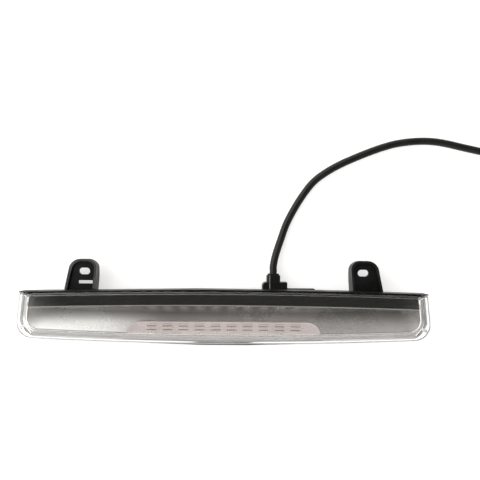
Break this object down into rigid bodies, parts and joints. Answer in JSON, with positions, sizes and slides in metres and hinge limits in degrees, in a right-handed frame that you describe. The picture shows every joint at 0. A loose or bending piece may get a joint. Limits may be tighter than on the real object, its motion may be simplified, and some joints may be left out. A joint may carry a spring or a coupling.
{
  "type": "third brake light",
  "caption": "Long low third brake light with a clear flared lens, silver reflector, central light row, two slotted mounting tabs and a round black lead.",
  "frame": {"origin": "centre of the lamp's box, on the surface that its back lies on", "axes": "+X along the lamp, +Y from the lens's bottom edge towards the mounting tabs, +Z out of the lens"},
  "size_m": [0.5579, 0.2021, 0.037],
  "materials": {
    "clear_lens": "clear polycarbonate, polished",
    "sealant": "pale silicone bead",
    "black_housing": "moulded black ABS, satin gloss",
    "black_bezel": "fine satin black",
    "metallised": "vacuum-metallised ABS, satin silver",
    "clear_optic": "clear acrylic with a pillow grid",
    "board_green": "green solder mask on glass-epoxy board",
    "led_body": "white moulded package",
    "led_dome": "clear epoxy dome",
    "black_component": "moulded black epoxy",
    "capacitor_can": "bright aluminium can",
    "white_nylon": "natural white nylon",
    "zinc_screw": "bright zinc",
    "red_insulation": "red PVC insulation",
    "black_insulation": "black PVC insulation",
    "black_jacket": "smooth black PVC jacket",
    "grey_nylon": "dark nylon",
    "black_boot": "moulded black PVC",
    "vent_white": "white porous vent in a plastic plug",
    "tie_black": "black nylon tie",
    "shrink_sleeve": "black heat-shrink",
    "brass_terminal": "tinned brass"
  },
  "bodies": {
    "root": {"lens_cover": "clear_lens", "lens_seal": "sealant", "rear_housing": "black_housing", "left_mounting_tab": "black_housing", "right_mounting_tab": "black_housing", "upper_bezel": "black_bezel", "reflector": "metallised", "inner_optic": "clear_optic", "circuit_board": "board_green", "led_bodies": "led_body", "led_domes": "led_dome", "resistors": "black_component", "protection_diode": "black_component", "driver_chip": "black_component", "smoothing_capacitor": "capacitor_can", "board_header": "white_nylon", "board_screws": "zinc_screw", "reflector_screws": "zinc_screw", "red_lead": "red_insulation", "black_lead": "black_insulation", "cable_inner_end": "black_jacket", "cable_clamp": "grey_nylon", "clamp_screw": "zinc_screw", "cable_boot": "black_boot", "breather_vent": "vent_white", "cable": "black_jacket", "cable_coil": "black_jacket", "coil_tie": "tie_black", "cable_tail": "black_jacket", "end_sleeve": "shrink_sleeve", "end_cores": "red_insulation", "connector_housing": "white_nylon", "connector_terminals": "brass_terminal"}
  },
  "joints": []
}
